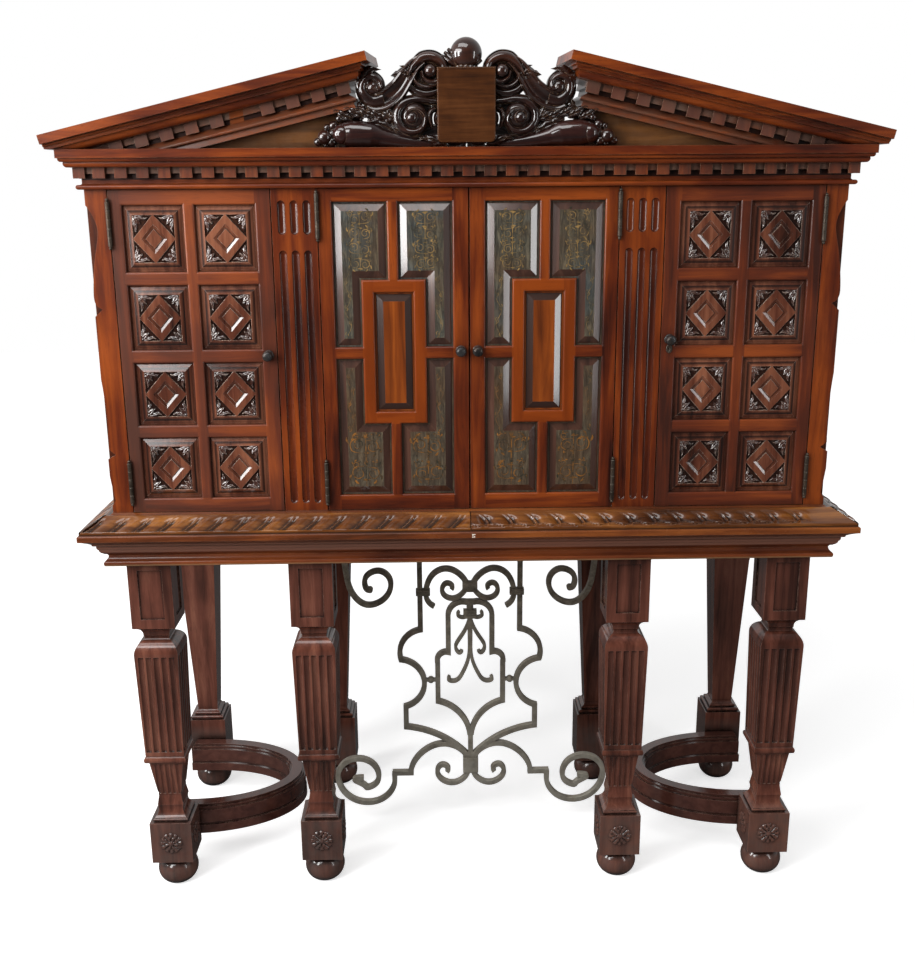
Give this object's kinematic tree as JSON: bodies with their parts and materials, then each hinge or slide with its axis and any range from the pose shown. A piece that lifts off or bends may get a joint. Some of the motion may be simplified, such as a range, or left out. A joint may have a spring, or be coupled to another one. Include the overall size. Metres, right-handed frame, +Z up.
{
  "type": "vargueno",
  "caption": "Four-door wooden cabinet with a broken pediment and carved crest, on a stand of fluted legs with bowed stretchers and scrolled ironwork.",
  "frame": {"origin": "on the floor, under the centre of the footprint", "axes": "+Z up, the doors face -Y, +X to the right seen from the front"},
  "size_m": [1.7, 0.64, 1.933],
  "materials": {
    "carcass_wood": "plain brown stain",
    "base_wood": "brown varnish",
    "leg_wood": "dark varnish, worn at the edges",
    "carved_band_wood": "brown varnish",
    "cornice_wood": "red-brown varnish",
    "dentil_wood": "faded and dusty varnish",
    "crest_wood": "dark glossy varnish",
    "door_wood": "red-brown varnish",
    "hinge_iron": "dark iron",
    "pewter_metal": "dull grey metal",
    "carved_panel_wood": "red-brown varnish",
    "painted_panel_wood": "dark green-grey paint with gilt tracery",
    "wrought_iron": "grey-brown patina",
    "face_frame_wood": "red-brown varnish",
    "plaque_wood": "brown varnish",
    "stretcher_wood": "brown varnish",
    "tympanum_wood": "red-brown varnish"
  },
  "bodies": {
    "cabinet": {"back_panel": "carcass_wood", "base_frame": "base_wood", "bottom_board": "carcass_wood", "bun_feet": "leg_wood", "carved_plinth": "carved_band_wood", "cornice": "cornice_wood", "cornice_dentils": "dentil_wood", "crest_scroll_left": "crest_wood", "crest_scroll_right": "crest_wood", "finial": "crest_wood", "hinge_fixed_leaves": "hinge_iron", "hinge_pins": "hinge_iron", "iron_arches": "wrought_iron", "iron_bottom_scroll": "wrought_iron", "iron_frame": "wrought_iron", "iron_pendant": "wrought_iron", "iron_top_scrolls": "wrought_iron", "leg_front_inner_left": "leg_wood", "leg_front_inner_right": "leg_wood", "leg_front_outer_left": "leg_wood", "leg_front_outer_right": "leg_wood", "leg_rear_inner_left": "leg_wood", "leg_rear_inner_right": "leg_wood", "leg_rear_outer_left": "leg_wood", "leg_rear_outer_right": "leg_wood", "partitions": "carcass_wood", "pilaster_left": "face_frame_wood", "pilaster_right": "face_frame_wood", "plaque": "plaque_wood", "raking_cornice_left": "cornice_wood", "raking_cornice_right": "cornice_wood", "raking_dentils": "dentil_wood", "ring_stretcher_left": "stretcher_wood", "ring_stretcher_right": "stretcher_wood", "shelves": "carcass_wood", "side_left": "carcass_wood", "side_right": "carcass_wood", "stand_top": "base_wood", "stile_left": "face_frame_wood", "stile_right": "face_frame_wood", "top_board": "carcass_wood", "tympanum_panels": "tympanum_wood"},
    "door_1": {"door_1_frame": "door_wood", "door_1_hinge_leaves": "hinge_iron", "door_1_knob": "pewter_metal", "door_1_panels": "carved_panel_wood"},
    "door_2": {"door_2_frame": "door_wood", "door_2_hinge_leaves": "hinge_iron", "door_2_knob": "pewter_metal", "door_2_panels": "painted_panel_wood"},
    "door_3": {"door_3_frame": "door_wood", "door_3_hinge_leaves": "hinge_iron", "door_3_knob": "pewter_metal", "door_3_panels": "painted_panel_wood"},
    "door_4": {"door_4_frame": "door_wood", "door_4_hinge_leaves": "hinge_iron", "door_4_knob": "pewter_metal", "door_4_panels": "carved_panel_wood", "lock_escutcheon": "pewter_metal"},
    "lock_bolt_slide": {"lock_bolt": "pewter_metal"}
  },
  "joints": [
    {"name": "door_1_hinge", "type": "hinge", "parent": "cabinet", "child": "door_1", "pos_m": [-0.74, -0.261, 1.301], "axis": [0, 0, -1], "range_deg": [0, 110]},
    {"name": "door_2_hinge", "type": "hinge", "parent": "cabinet", "child": "door_2", "pos_m": [-0.313, -0.261, 1.301], "axis": [0, 0, -1], "range_deg": [0, 110]},
    {"name": "door_3_hinge", "type": "hinge", "parent": "cabinet", "child": "door_3", "pos_m": [0.313, -0.261, 1.301], "axis": [0, 0, 1], "range_deg": [0, 110]},
    {"name": "door_4_hinge", "type": "hinge", "parent": "cabinet", "child": "door_4", "pos_m": [0.74, -0.261, 1.301], "axis": [0, 0, 1], "range_deg": [0, 110]},
    {"name": "lock_bolt_slide", "type": "slide", "parent": "door_4", "child": "lock_bolt_slide", "axis": [-1, 0, 0], "range_m": [0, 0.007]}
  ]
}
